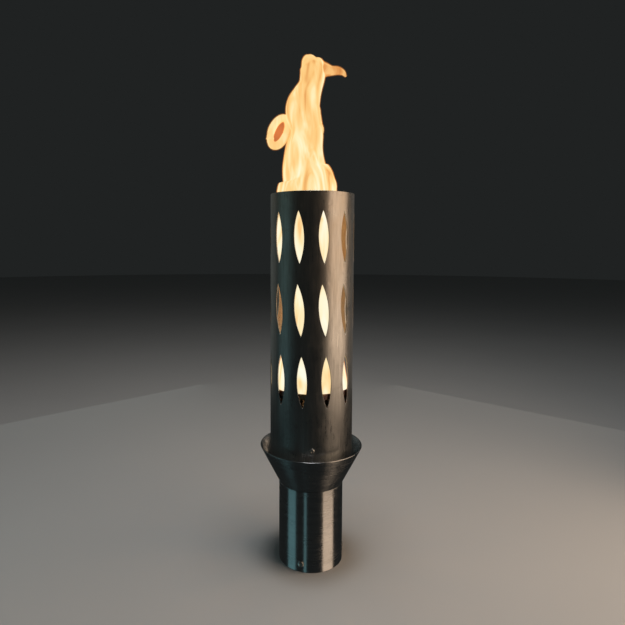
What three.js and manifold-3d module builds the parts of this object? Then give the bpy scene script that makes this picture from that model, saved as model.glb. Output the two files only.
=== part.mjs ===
// Gas tiki torch head: a slotted steel shroud that stands in a flared collar on
// top of a post socket, with the gas burner and its pipework inside.
// Millimetres, +Z up. The origin is the centre of the socket's lower rim and -Y is
// the front. An azimuth of 0 degrees faces the front, and it grows towards +X.
import * as THREE from "three";
import { mergeVertices } from "three/addons/utils/BufferGeometryUtils.js";
import Module from "manifold-3d";

const wasm = await Module();
wasm.setup();

// ---------------------------------------------------------------- clearances
const TOUCH_GAP = 0.3; // between pieces that rest on, screw into or are welded to each other
const SLIP_GAP = 0.35; // radial gap of a tube that slips over another
const CUT_PAST = 2; // how far a cutting bar runs past the wall that it cuts
const JOIN_OVERLAP = 1; // how far one shape runs into another that it is joined to

// ---------------------------------------------------------------- post socket
const SOCKET_OD = 79.4;
const SOCKET_WALL = 3;
const SOCKET_LENGTH = 99;
const SOCKET_CHAMFER = 0.6;
const STOP_THICKNESS = 3;
const STOP_BELOW_SOCKET_TOP = 4;
const STOP_HOLE_CLEARANCE = 4; // around the gas fitting's corners
const POST_SCREW_HEIGHT = 10.3;
const POST_SCREW_AZIMUTH = -19.4;
const POST_SCREW_COUNT = 3;

// ---------------------------------------------------------------- collar
const COLLAR_HEIGHT = 46; // from the socket's upper end to the rim
const COLLAR_WALL = 1.5;
const COLLAR_REACH = 12.7; // from the shroud's outside to the rim's outer edge

// ---------------------------------------------------------------- shroud and the cup it is screwed to
const SHROUD_OD = 101.6;
const SHROUD_WALL = 1.5;
const SHROUD_LENGTH = 329;
const SLOT_LENGTH = 60.5;
const SLOT_WIDTH = 11.8;
const SLOTS_PER_ROW = 11;
const FIRST_ROW_HEIGHT = 109; // from the shroud's lower end to the middle of the lowest row
const ROW_PITCH = 83.8;
const SLOT_ROWS = [
  { turn: 17.6, lean: 1.4 },
  { turn: 13.6, lean: 4.2 },
  { turn: 12.9, lean: 1.6 },
]; // from the lowest row up: azimuth of one slot, and its tilt to the left, in degrees
const CUP_WALL = 1.5;
const CUP_FLOOR = 2;
const CUP_ABOVE_SCREWS = 12;
const VENT_COUNT = 6;
const VENT_OD = 12;
const SHROUD_SCREW_ABOVE_RIM = 9;
const SHROUD_SCREW_AZIMUTH = -1.2;
const SHROUD_SCREW_COUNT = 3;
const SHROUD_NUT_OD = 7;
const SHROUD_NUT_LENGTH = 4;

// ---------------------------------------------------------------- screws: thread, shank, button head, hex recess
const HEAD_EDGE_SHARE = 0.25; // upright edge of a button head, as a share of its height
const SHROUD_SCREW = { thread: 3, shank: 8, headOD: 5.7, headHeight: 1.65, hex: 2, hexDepth: 1 };
const POST_SCREW = { thread: 4, shank: 6, headOD: 7.6, headHeight: 2.2, hex: 2.5, hexDepth: 1.3 };

// ---------------------------------------------------------------- gas pipework
const PIPE_OD = 21.3;
const PIPE_WALL = 2.8;
const THREAD_ENGAGEMENT = 10; // how far a pipe end goes into a fitting
const LOCKNUT_HEX = 30;
const LOCKNUT_THICKNESS = 7;
const FITTING_HEX = 27;
const FITTING_HEX_HEIGHT = 14;
const FLARE_OD = 15.9;
const FLARE_LENGTH = 18;
const FLARE_TIP_LENGTH = 4;
const FLARE_TIP_OD = 11;
const INLET_BORE = 8;
const NIPPLE_BELOW_CUP = 34;
const MIXER_WALL = 4;
const MIXER_LENGTH = 40;
const MIXER_THROAT_BORE = 17;
const AIR_HOLE_OD = 8;
const AIR_HOLE_COUNT = 4;
const AIR_HOLE_AZIMUTH = 45;
const SHUTTER_WALL = 1.2;
const SHUTTER_HEIGHT = 13;
const SHUTTER_TAB_REACH = 9;
const SHUTTER_TAB_WIDTH = 6;
const SHUTTER_TAB_THICKNESS = 2;
const ORIFICE_SEAT_LENGTH = 8;
const ORIFICE_TIP_LENGTH = 11;
const ORIFICE_SHOULDER = 1; // height of the sloped shoulder below the tip
const ORIFICE_TAPER = 2; // height of the taper at the end of the tip
const ORIFICE_TIP_OD = 8;
const ORIFICE_BORE = 2;

// ---------------------------------------------------------------- burner
const PAN_BELOW_FIRST_ROW = 14; // from the middle of the lowest slots down to the pan's lip
const PAN_SIDE_GAP = 1.8;
const PAN_DEPTH = 8;
const PAN_WALL = 1.2;
const BURNER_OD = 62;
const BURNER_WALL = 2;
const BURNER_HUB_OD = 32;
const BURNER_HUB_HEIGHT = 5;
const BURNER_HEIGHT = 12; // of the drum, above the hub
const BURNER_CAP_THICKNESS = 2;
const BURNER_CAP_SKIRT = 3;
const PORT_OD = 3;
const SIDE_PORTS = 16;
const CAP_PORT_RINGS = [
  { share: 0.4, count: 6 },
  { share: 0.74, count: 12 },
]; // rings of ports, each at a share of the cap's radius

// ---------------------------------------------------------------- fineness of round shapes
const TUBE_SIDES = 5 * SLOTS_PER_ROW;
const PIPE_SIDES = 20;
const SCREW_SIDES = 16;
const HOLE_SIDES = 10;
const PORT_SIDES = 6;
const ARC_STEPS = 4;

// ---------------------------------------------------------------- sizes that follow
const socketRadius = SOCKET_OD / 2;
const socketBore = socketRadius - SOCKET_WALL;
const shroudRadius = SHROUD_OD / 2;
const shroudBore = shroudRadius - SHROUD_WALL;
const rimRadius = shroudRadius + COLLAR_REACH;
const collarBottom = SOCKET_LENGTH + TOUCH_GAP;
const rimHeight = SOCKET_LENGTH + COLLAR_HEIGHT;
const collarSlope = (rimRadius - socketRadius) / (rimHeight - collarBottom);
const collarCosine = 1 / Math.hypot(1, collarSlope);
const collarWallAcross = COLLAR_WALL / collarCosine;

// The height at which a round piece of this radius sits in the collar, just clear of its wall.
function collarSeat(radius) {
  const wanted = radius + TOUCH_GAP / collarCosine + collarWallAcross;
  return collarBottom + (wanted - socketRadius) / collarSlope;
}

const shroudBottom = collarSeat(shroudRadius);
const shroudScrewHeight = rimHeight + SHROUD_SCREW_ABOVE_RIM;
const cupRadius = shroudBore - SLIP_GAP;
const cupBore = cupRadius - CUP_WALL;
const cupBottom = collarSeat(cupRadius);
const cupFloorTop = cupBottom + CUP_FLOOR;
const cupTop = shroudScrewHeight + CUP_ABOVE_SCREWS;

const pipeRadius = PIPE_OD / 2;
const pipeBore = pipeRadius - PIPE_WALL;
const pipeHole = pipeRadius + TOUCH_GAP;
const nippleBottom = cupBottom - NIPPLE_BELOW_CUP;
const lowerLocknutBottom = cupBottom - TOUCH_GAP - LOCKNUT_THICKNESS;
const upperLocknutBottom = cupFloorTop + TOUCH_GAP;
const fittingTop = nippleBottom + THREAD_ENGAGEMENT;
const fittingHexBottom = fittingTop - FITTING_HEX_HEIGHT;
const inletBottom = fittingHexBottom - FLARE_LENGTH;
const mixerBottom = upperLocknutBottom + LOCKNUT_THICKNESS + TOUCH_GAP;
const mixerTop = mixerBottom + MIXER_LENGTH;
const mixerRadius = pipeHole + MIXER_WALL;
const nippleTop = mixerBottom + THREAD_ENGAGEMENT;
const riserBottom = mixerTop - THREAD_ENGAGEMENT;
const airHoleHeight = (nippleTop + riserBottom) / 2;
const shutterBore = mixerRadius + SLIP_GAP;
const shutterRadius = shutterBore + SHUTTER_WALL;

const panTop = shroudBottom + FIRST_ROW_HEIGHT - PAN_BELOW_FIRST_ROW;
const panBottom = panTop - PAN_DEPTH;
const panFloorTop = panBottom + PAN_WALL;
const panRadius = shroudBore - PAN_SIDE_GAP;
const burnerBottom = panFloorTop + TOUCH_GAP;
const drumBottom = burnerBottom + BURNER_HUB_HEIGHT;
const drumTop = drumBottom + BURNER_HEIGHT;
const burnerRadius = BURNER_OD / 2;
const burnerBore = burnerRadius - BURNER_WALL;
const riserTop = drumBottom;

const radians = THREE.MathUtils.degToRad;

// The outer corner radius of a hexagon of this size across its flats.
function cornerRadius(acrossFlats) {
  return acrossFlats / Math.sqrt(3);
}

// ---------------------------------------------------------------- geometry helpers

// A ring or a turned solid from points [radius, height], listed anticlockwise.
// The outline closes on itself unless it starts and ends on the axis.
function turned(points, sides) {
  const outline = points.map(([radius, height]) => new THREE.Vector2(radius, height));
  const onAxis = points[0][0] === 0 && points[points.length - 1][0] === 0;
  if (!onAxis) {
    outline.push(outline[0].clone());
  }
  return new THREE.LatheGeometry(outline, sides).rotateX(Math.PI / 2);
}

// A tube from z = bottom to z = top.
function tube(bore, radius, bottom, top, sides) {
  return turned([[bore, bottom], [radius, bottom], [radius, top], [bore, top]], sides);
}

// A round bar along +Z that starts at z = 0.
function rod(diameter, length, sides) {
  const bar = new THREE.CylinderGeometry(diameter / 2, diameter / 2, length, sides);
  return bar.rotateX(Math.PI / 2).translate(0, 0, length / 2);
}

// A hexagonal bar along +Z that starts at z = 0, with flats that face +X and -X,
// and with a round hole through it where a bore is given.
function hexBar(acrossFlats, length, bore = 0) {
  const corners = [];
  for (let corner = 0; corner < 6; corner++) {
    const angle = radians(60 * corner + 30);
    const reach = cornerRadius(acrossFlats);
    corners.push(new THREE.Vector2(reach * Math.cos(angle), reach * Math.sin(angle)));
  }
  const outline = new THREE.Shape(corners);
  if (bore > 0) {
    outline.holes.push(new THREE.Path().absarc(0, 0, bore, 0, 2 * Math.PI, true));
  }
  return new THREE.ExtrudeGeometry(outline, { depth: length, bevelEnabled: false, curveSegments: PIPE_SIDES });
}

// A bar along +Z that starts at z = 0, with the section of a slot: two arcs that meet in points.
function lensBar(length, width, depth) {
  const half = width / 2;
  const arcRadius = (length ** 2 / 4 + half ** 2) / width;
  const sweep = Math.asin(length / 2 / arcRadius);
  const outline = new THREE.Shape();
  outline.absarc(half - arcRadius, 0, arcRadius, -sweep, sweep, false);
  outline.absarc(arcRadius - half, 0, arcRadius, Math.PI - sweep, Math.PI + sweep, false);
  return new THREE.ExtrudeGeometry(outline, { depth, bevelEnabled: false, curveSegments: ARC_STEPS });
}

// A closed geometry as a solid that can be cut and joined.
function solidOf(geometry) {
  const bare = geometry.clone();
  bare.deleteAttribute("normal");
  bare.deleteAttribute("uv");
  const merged = mergeVertices(bare, 1e-4);
  const mesh = new wasm.Mesh({
    numProp: 3,
    vertProperties: merged.attributes.position.array,
    triVerts: new Uint32Array(merged.index.array),
  });
  return new wasm.Manifold(mesh);
}

// A solid back as a geometry.
function geometryOf(solid) {
  const mesh = solid.getMesh();
  const geometry = new THREE.BufferGeometry();
  geometry.setAttribute("position", new THREE.BufferAttribute(mesh.vertProperties, 3));
  geometry.setIndex(new THREE.BufferAttribute(mesh.triVerts, 1));
  return geometry;
}

function cut(geometry, tools) {
  return geometryOf(tools.reduce((left, tool) => left.subtract(solidOf(tool)), solidOf(geometry)));
}

function join(geometry, additions) {
  return geometryOf(additions.reduce((whole, piece) => whole.add(solidOf(piece)), solidOf(geometry)));
}

// Turns a shape that points along +Z outwards, at an azimuth, a radius and a height.
function outwards(geometry, azimuth, radius, height, lean = 0) {
  const place = new THREE.Matrix4().makeRotationZ(radians(azimuth));
  place.multiply(new THREE.Matrix4().makeTranslation(0, -radius, height));
  place.multiply(new THREE.Matrix4().makeRotationX(Math.PI / 2));
  place.multiply(new THREE.Matrix4().makeRotationZ(radians(lean)));
  return geometry.applyMatrix4(place);
}

// The azimuths of a number of like things, evenly spaced from the first.
function azimuths(first, count) {
  return Array.from({ length: count }, (_, index) => first + (360 / count) * index);
}

// Round bars that cut holes outwards through a wall between two radii.
function radialHoles(first, count, diameter, height, inner, outer, sides = HOLE_SIDES) {
  const length = outer - inner + 2 * CUT_PAST;
  return azimuths(first, count).map((azimuth) =>
    outwards(rod(diameter, length, sides), azimuth, inner - CUT_PAST, height),
  );
}

// Round bars along +Z on a circle, which cut holes through a plate.
function plateHoles(first, count, diameter, circleRadius, bottom, top, sides = HOLE_SIDES) {
  const length = top - bottom + 2 * CUT_PAST;
  return azimuths(first, count).map((azimuth) =>
    rod(diameter, length, sides)
      .translate(0, -circleRadius, bottom - CUT_PAST)
      .rotateZ(radians(azimuth)),
  );
}

// ---------------------------------------------------------------- scene graph helpers
const torch = new THREE.Group();

const satinSteel = { color: 0x8d8c88, roughness: 0.34, metalness: 1 };
const brushedSteel = { color: 0x9a9da0, roughness: 0.28, metalness: 1 };
const screwSteel = { color: 0xb4b6b8, roughness: 0.25, metalness: 1 };
const heatedSteel = { color: 0x7d6a58, roughness: 0.45, metalness: 1 };
const zincSteel = { color: 0x7f8386, roughness: 0.5, metalness: 0.9 };
const castIron = { color: 0x4b4a49, roughness: 0.65, metalness: 0.7 };
const brass = { color: 0xb38a3f, roughness: 0.32, metalness: 1 };

function add(name, geometry, look, parent = torch) {
  geometry.computeVertexNormals();
  const mesh = new THREE.Mesh(geometry, new THREE.MeshStandardMaterial(look));
  mesh.name = name;
  parent.add(mesh);
  return mesh;
}

// Adds a piece that points along +Z so that it points outwards, on a spoke of its own.
function addOutwards(name, geometry, look, azimuth, radius, height) {
  const spoke = new THREE.Group();
  spoke.rotation.z = radians(azimuth);
  torch.add(spoke);
  const mesh = add(name, geometry, look, spoke);
  mesh.position.set(0, -radius, height);
  mesh.rotation.x = Math.PI / 2;
}

// ---------------------------------------------------------------- fasteners

// A button-head screw along +Z: the head's underside is at z = 0 and the shank is below it.
function buttonScrew({ thread, shank, headOD, headHeight, hex, hexDepth }) {
  const edge = HEAD_EDGE_SHARE * headHeight;
  const profile = [[0, -shank], [thread / 2, -shank], [thread / 2, 0], [headOD / 2, 0]];
  for (let step = 0; step < ARC_STEPS; step++) {
    const angle = (step / ARC_STEPS) * (Math.PI / 2);
    const radius = (headOD / 2) * Math.cos(angle);
    profile.push([radius, edge + (headHeight - edge) * Math.sin(angle)]);
  }
  profile.push([0, headHeight]);
  const recess = hexBar(hex, hexDepth + CUT_PAST).translate(0, 0, headHeight - hexDepth);
  return cut(turned(profile, SCREW_SIDES), [recess]);
}

function addShroudScrews() {
  const hole = SHROUD_SCREW.thread + 2 * TOUCH_GAP;
  azimuths(SHROUD_SCREW_AZIMUTH, SHROUD_SCREW_COUNT).forEach((azimuth, index) => {
    const number = index + 1;
    const screw = buttonScrew(SHROUD_SCREW);
    addOutwards(`shroud_screw_${number}`, screw, screwSteel, azimuth, shroudRadius + TOUCH_GAP, shroudScrewHeight);
    const nut = tube(hole / 2, SHROUD_NUT_OD / 2, -SHROUD_NUT_LENGTH, 0, SCREW_SIDES);
    addOutwards(`shroud_nut_${number}`, nut, zincSteel, azimuth, cupBore - TOUCH_GAP, shroudScrewHeight);
  });
}

function addPostScrews() {
  azimuths(POST_SCREW_AZIMUTH, POST_SCREW_COUNT).forEach((azimuth, index) => {
    const screw = buttonScrew(POST_SCREW);
    addOutwards(`post_screw_${index + 1}`, screw, screwSteel, azimuth, socketRadius + TOUCH_GAP, POST_SCREW_HEIGHT);
  });
}

// ---------------------------------------------------------------- casing

function addSocket() {
  const lip = SOCKET_CHAMFER;
  const wall = turned(
    [
      [socketBore + lip, 0],
      [socketRadius - lip, 0],
      [socketRadius, lip],
      [socketRadius, SOCKET_LENGTH],
      [socketBore, SOCKET_LENGTH],
      [socketBore, lip],
    ],
    TUBE_SIDES,
  );
  const hole = POST_SCREW.thread + 2 * TOUCH_GAP;
  const holes = radialHoles(
    POST_SCREW_AZIMUTH, POST_SCREW_COUNT, hole, POST_SCREW_HEIGHT, socketBore, socketRadius,
  );
  add("socket_tube", cut(wall, holes), brushedSteel);

  const stopTop = SOCKET_LENGTH - STOP_BELOW_SOCKET_TOP;
  const stopBore = cornerRadius(FITTING_HEX) + STOP_HOLE_CLEARANCE;
  const stop = tube(stopBore, socketBore - TOUCH_GAP, stopTop - STOP_THICKNESS, stopTop, TUBE_SIDES);
  add("post_stop_ring", stop, brushedSteel);
}

function addCollar() {
  const cone = turned(
    [
      [socketRadius - collarWallAcross, collarBottom],
      [socketRadius, collarBottom],
      [rimRadius, rimHeight],
      [rimRadius - collarWallAcross, rimHeight],
    ],
    TUBE_SIDES,
  );
  add("collar_cone", cone, brushedSteel);
}

function addShroud() {
  const wall = tube(shroudBore, shroudRadius, shroudBottom, shroudBottom + SHROUD_LENGTH, TUBE_SIDES);
  const slots = SLOT_ROWS.flatMap(({ turn, lean }, row) => {
    const height = shroudBottom + FIRST_ROW_HEIGHT + ROW_PITCH * row;
    return azimuths(turn, SLOTS_PER_ROW).map((azimuth) => {
      const bar = lensBar(SLOT_LENGTH, SLOT_WIDTH, SHROUD_WALL + 2 * CUT_PAST);
      return outwards(bar, azimuth, shroudBore - CUT_PAST, height, lean);
    });
  });
  const hole = SHROUD_SCREW.thread + 2 * TOUCH_GAP;
  const holes = radialHoles(
    SHROUD_SCREW_AZIMUTH, SHROUD_SCREW_COUNT, hole, shroudScrewHeight, shroudBore, shroudRadius,
  );
  add("shroud", cut(wall, [...slots, ...holes]), satinSteel);
}

function addCup() {
  const cup = turned(
    [
      [pipeHole, cupBottom],
      [cupRadius, cupBottom],
      [cupRadius, cupTop],
      [cupBore, cupTop],
      [cupBore, cupFloorTop],
      [pipeHole, cupFloorTop],
    ],
    TUBE_SIDES,
  );
  const ventCircle = (cornerRadius(LOCKNUT_HEX) + cupBore) / 2;
  const vents = plateHoles(0, VENT_COUNT, VENT_OD, ventCircle, cupBottom, cupFloorTop);
  const hole = SHROUD_SCREW.thread + 2 * TOUCH_GAP;
  const holes = radialHoles(
    SHROUD_SCREW_AZIMUTH, SHROUD_SCREW_COUNT, hole, shroudScrewHeight, cupBore, cupRadius,
  );
  add("inner_cup", cut(cup, [...vents, ...holes]), heatedSteel);
}

// ---------------------------------------------------------------- gas pipework

function addLocknut(name, bottom) {
  add(name, hexBar(LOCKNUT_HEX, LOCKNUT_THICKNESS, pipeHole).translate(0, 0, bottom), zincSteel);
}

function addInlet() {
  const flare = FLARE_OD / 2;
  const neckTop = nippleBottom - TOUCH_GAP;
  const body = turned(
    [
      [0, inletBottom],
      [FLARE_TIP_OD / 2, inletBottom],
      [flare, inletBottom + FLARE_TIP_LENGTH],
      [flare, fittingHexBottom + JOIN_OVERLAP],
      [0, fittingHexBottom + JOIN_OVERLAP],
    ],
    PIPE_SIDES,
  );
  const hex = hexBar(FITTING_HEX, FITTING_HEX_HEIGHT).translate(0, 0, fittingHexBottom);
  const boreLength = fittingTop - inletBottom + 2 * CUT_PAST;
  const bore = rod(INLET_BORE, boreLength, PIPE_SIDES).translate(0, 0, inletBottom - CUT_PAST);
  const thread = rod(2 * pipeHole, fittingTop - neckTop + CUT_PAST, PIPE_SIDES).translate(0, 0, neckTop);
  add("gas_inlet_fitting", cut(join(body, [hex]), [bore, thread]), brass);
  add("inlet_nipple", tube(pipeBore, pipeRadius, nippleBottom, nippleTop, PIPE_SIDES), castIron);
}

function addOrifice() {
  const seat = pipeBore - TOUCH_GAP;
  const tip = ORIFICE_TIP_OD / 2;
  const shoulder = nippleTop;
  const spud = turned(
    [
      [ORIFICE_BORE / 2, shoulder - ORIFICE_SEAT_LENGTH],
      [seat, shoulder - ORIFICE_SEAT_LENGTH],
      [seat, shoulder],
      [tip, shoulder + ORIFICE_SHOULDER],
      [tip, shoulder + ORIFICE_TIP_LENGTH - ORIFICE_TAPER],
      [tip / 2, shoulder + ORIFICE_TIP_LENGTH],
      [ORIFICE_BORE / 2, shoulder + ORIFICE_TIP_LENGTH],
    ],
    SCREW_SIDES,
  );
  add("gas_orifice", spud, brass);
}

function addAirMixer() {
  const throat = MIXER_THROAT_BORE / 2;
  const body = turned(
    [
      [pipeHole, mixerBottom],
      [mixerRadius, mixerBottom],
      [mixerRadius, mixerTop],
      [pipeHole, mixerTop],
      [pipeHole, riserBottom - TOUCH_GAP],
      [throat, riserBottom - TOUCH_GAP],
      [throat, nippleTop + TOUCH_GAP],
      [pipeHole, nippleTop + TOUCH_GAP],
    ],
    PIPE_SIDES,
  );
  const holes = radialHoles(
    AIR_HOLE_AZIMUTH, AIR_HOLE_COUNT, AIR_HOLE_OD, airHoleHeight, throat, mixerRadius,
  );
  add("air_mixer", cut(body, holes), castIron);

  const bottom = airHoleHeight - SHUTTER_HEIGHT / 2;
  const sleeve = tube(shutterBore, shutterRadius, bottom, bottom + SHUTTER_HEIGHT, PIPE_SIDES);
  const tab = new THREE.BoxGeometry(SHUTTER_TAB_WIDTH, SHUTTER_TAB_REACH, SHUTTER_TAB_THICKNESS);
  const overlap = SHUTTER_WALL / 2;
  tab.translate(0, -shutterRadius + overlap - SHUTTER_TAB_REACH / 2, bottom + SHUTTER_TAB_THICKNESS / 2);
  const windows = radialHoles(
    AIR_HOLE_AZIMUTH, AIR_HOLE_COUNT, AIR_HOLE_OD, airHoleHeight, shutterBore, shutterRadius,
  );
  add("air_shutter", cut(join(sleeve, [tab]), windows), zincSteel);
}

function addPipework() {
  addLocknut("cup_locknut_lower", lowerLocknutBottom);
  addLocknut("cup_locknut_upper", upperLocknutBottom);
  addInlet();
  addOrifice();
  addAirMixer();
  add("riser_pipe", tube(pipeBore, pipeRadius, riserBottom, riserTop, PIPE_SIDES), castIron);
  addLocknut("pan_locknut", panBottom - TOUCH_GAP - LOCKNUT_THICKNESS);
}

// ---------------------------------------------------------------- burner

function addBurner() {
  const pan = turned(
    [
      [pipeHole, panBottom],
      [panRadius, panBottom],
      [panRadius, panTop],
      [panRadius - PAN_WALL, panTop],
      [panRadius - PAN_WALL, panFloorTop],
      [pipeHole, panFloorTop],
    ],
    TUBE_SIDES,
  );
  add("burner_pan", pan, heatedSteel);

  const drum = turned(
    [
      [pipeHole, burnerBottom],
      [BURNER_HUB_OD / 2, burnerBottom],
      [BURNER_HUB_OD / 2, drumBottom],
      [burnerRadius, drumBottom],
      [burnerRadius, drumTop],
      [burnerBore, drumTop],
      [burnerBore, drumBottom + BURNER_WALL],
      [pipeHole, drumBottom + BURNER_WALL],
    ],
    2 * PIPE_SIDES,
  );
  const portHeight = (drumBottom + BURNER_WALL + drumTop - BURNER_CAP_SKIRT) / 2;
  const ports = radialHoles(0, SIDE_PORTS, PORT_OD, portHeight, burnerBore, burnerRadius, PORT_SIDES);
  add("burner_body", cut(drum, ports), heatedSteel);

  const capBottom = drumTop + TOUCH_GAP;
  const capTop = capBottom + BURNER_CAP_THICKNESS;
  const skirt = burnerBore - TOUCH_GAP;
  const cap = turned(
    [
      [0, capBottom],
      [skirt - BURNER_WALL, capBottom],
      [skirt - BURNER_WALL, capBottom - BURNER_CAP_SKIRT],
      [skirt, capBottom - BURNER_CAP_SKIRT],
      [skirt, capBottom],
      [burnerRadius, capBottom],
      [burnerRadius, capTop],
      [0, capTop],
    ],
    2 * PIPE_SIDES,
  );
  const capPorts = CAP_PORT_RINGS.flatMap(({ share, count }) =>
    plateHoles(0, count, PORT_OD, share * burnerRadius, capBottom, capTop, PORT_SIDES),
  );
  add("burner_cap", cut(cap, capPorts), heatedSteel);
}

addSocket();
addCollar();
addCup();
addShroud();
addShroudScrews();
addPostScrews();
addPipework();
addBurner();

export default torch;
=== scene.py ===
import math

import bmesh
import bpy
from mathutils import Matrix, Vector
from mathutils.bvhtree import BVHTree
from mathutils.interpolate import poly_3d_calc


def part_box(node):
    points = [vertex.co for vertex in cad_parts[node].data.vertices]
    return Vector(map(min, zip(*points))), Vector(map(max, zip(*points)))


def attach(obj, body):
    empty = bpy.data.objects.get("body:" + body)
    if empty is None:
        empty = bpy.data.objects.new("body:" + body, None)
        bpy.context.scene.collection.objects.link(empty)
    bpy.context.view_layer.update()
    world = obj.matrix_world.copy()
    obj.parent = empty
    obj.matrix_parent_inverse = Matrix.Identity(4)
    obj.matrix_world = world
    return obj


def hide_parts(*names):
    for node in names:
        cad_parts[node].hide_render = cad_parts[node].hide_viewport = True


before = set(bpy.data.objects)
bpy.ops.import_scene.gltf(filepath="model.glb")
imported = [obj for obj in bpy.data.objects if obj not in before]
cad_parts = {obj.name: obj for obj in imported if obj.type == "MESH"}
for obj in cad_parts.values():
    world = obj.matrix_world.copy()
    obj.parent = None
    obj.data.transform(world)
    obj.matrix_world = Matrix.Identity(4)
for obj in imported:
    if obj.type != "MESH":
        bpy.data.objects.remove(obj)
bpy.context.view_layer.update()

# ---------------------------------------------------------------- sizes
SHROUD_WALL = 0.0015
SLOT_LENGTH = 0.0605
SLOT_WIDTH = 0.0118
SLOTS_PER_ROW = 11
FIRST_ROW_HEIGHT = 0.109
ROW_PITCH = 0.0838
SLOT_ROWS = [(17.6, 1.4), (13.6, 4.2), (12.9, 1.6)]  # azimuth of one slot and tilt to the left, upwards
SLOT_EDGE = 0.0003
RIM_EDGE = 0.0004
GAP = 0.0003  # between pieces that meet
HEX_CROWN = 0.485  # where a hexagon's chamfer starts, as a share of its width across flats
HEX_CHAMFER = math.tan(math.radians(30))
CUT_PAST = 0.002  # how far a peg runs past what it cuts
SOCKET_WALL = 0.003
COLLAR_WALL_ACROSS = 0.00169
CUP_WALL = 0.0015
CUP_FLOOR = 0.002
PAN_WALL = 0.0012
VENTS = {"count": 6, "radius": 0.006, "circle": 0.03239}
SCREW_AZIMUTHS = {"shroud": -1.2, "post": -19.4}
SHROUD_SCREW = {"thread": 0.003, "pitch": 0.0005, "shank": 0.008, "head": 0.0057, "height": 0.00165,
                "hexagon": 0.002, "depth": 0.001}
POST_SCREW = {"thread": 0.004, "pitch": 0.0007, "shank": 0.006, "head": 0.0076, "height": 0.0022,
              "hexagon": 0.0025, "depth": 0.0013}
SHROUD_HOLE = 0.0018
POST_HOLE = 0.0023
RIVET_NUT = {"rim": 0.0035, "bore": 0.00165, "length": 0.004, "edge": 0.0003}
STOP_RING_BORE = 0.01959
WELD_RIPPLES = 110
WELD_SWELL = 0.00018
PIPE_BORE = 0.00785
PIPE_HOLE = 0.01095
PIPE_PITCH = 0.00181
PIPE_THREAD_DEPTH = 0.0007
PIPE_EDGE = 0.0005
LOCKNUT_FLATS = 0.030
FITTING_FLATS = 0.027
FITTING_HEX_HEIGHT = 0.014
FLARE_RADIUS = 0.00795
FLARE_PITCH = 0.00141
FLARE_THREAD_DEPTH = 0.0008
INLET_BORE = 0.004
INLET_TIP = 0.0055
INLET_THROAT = 0.0072
MIXER_THROAT = 0.0085
AIR_HOLES = {"count": 4, "radius": 0.004, "azimuth": 45}
SHUTTER_GAP = 0.00035
SHUTTER_WALL = 0.0012
SHUTTER_TAB = {"half": 0.003, "thick": 0.002, "round": 0.0015, "sunk": 0.0006}
ORIFICE = {"bore": 0.001, "tip": 0.004, "base": 0.008, "shoulder": 0.001, "taper": 0.002}
BURNER_WALL = 0.002
BURNER_HUB = {"radius": 0.016, "height": 0.005}
BURNER_PORT = 0.0015
DRUM_PORTS = 16
CAP_PLATE = 0.002
CAP_PORTS = [(0.0124, 6), (0.02294, 12)]  # the radius of each circle of ports, and their number

# ---------------------------------------------------------------- fineness
WIDE_SIDES = 132
PIPE_SIDES = 60
SCREW_SIDES = 48
HALF_CELL = 5  # columns in half the width of one slot's cell
CELL_SIDE = 16  # rows up the side of one slot's cell
CELL_RINGS = [0.12, 0.38, 0.68, 1.0]
FILLET_STEPS = 3
DOME_STEPS = 8
FLAME_SIDES = 36
FLAME_STEPS = 6


# ---------------------------------------------------------------- mesh helpers
def spot(azimuth, radius, height):
    angle = math.radians(azimuth)
    return Vector((radius * math.sin(angle), -radius * math.cos(angle), height))


def azimuths(first, count):
    return [first + 360 / count * index for index in range(count)]


def reach(node):
    """The outer radius of a round CAD node on the axis, and its lowest and highest z."""
    low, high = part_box(node)
    return -low.y, low.z, high.z


def new_object(name, data):
    piece = bpy.data.objects.new(name, data)
    bpy.context.scene.collection.objects.link(piece)
    return piece


def new_piece(name, points, faces, normals=None, sharp=32):
    """A smooth-shaded mesh, with its own normals or with edges over a number of degrees left sharp."""
    mesh = bpy.data.meshes.new(name)
    mesh.from_pydata(points, [], faces)
    mesh.shade_smooth()
    if normals is None:
        mesh.set_sharp_from_angle(angle=math.radians(sharp))
    else:
        mesh.normals_split_custom_set_from_vertices(normals)
    return new_object(name, mesh)


def filleted(corners):
    """A closed section with rounded corners, from (radius, height, fillet) listed anticlockwise.
    Returns its points and the outward normal at each."""
    points, normals = [], []
    for index, (radius, height, fillet) in enumerate(corners):
        here = Vector((radius, height))
        way_in = (here - Vector(corners[index - 1][:2])).normalized()
        way_out = (Vector(corners[(index + 1) % len(corners)][:2]) - here).normalized()
        turn = math.atan2(way_in.cross(way_out), way_in.dot(way_out))
        first = math.atan2(-way_in.x, way_in.y)
        side = math.copysign(1, turn)
        start = here - way_in * fillet * math.tan(abs(turn) / 2)
        centre = start - side * fillet * Vector((math.cos(first), math.sin(first)))
        for step in range(FILLET_STEPS + 1):
            angle = first + turn * step / FILLET_STEPS
            normal = Vector((math.cos(angle), math.sin(angle)))
            points.append(centre + side * fillet * normal)
            normals.append(normal)
    return points, normals


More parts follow.
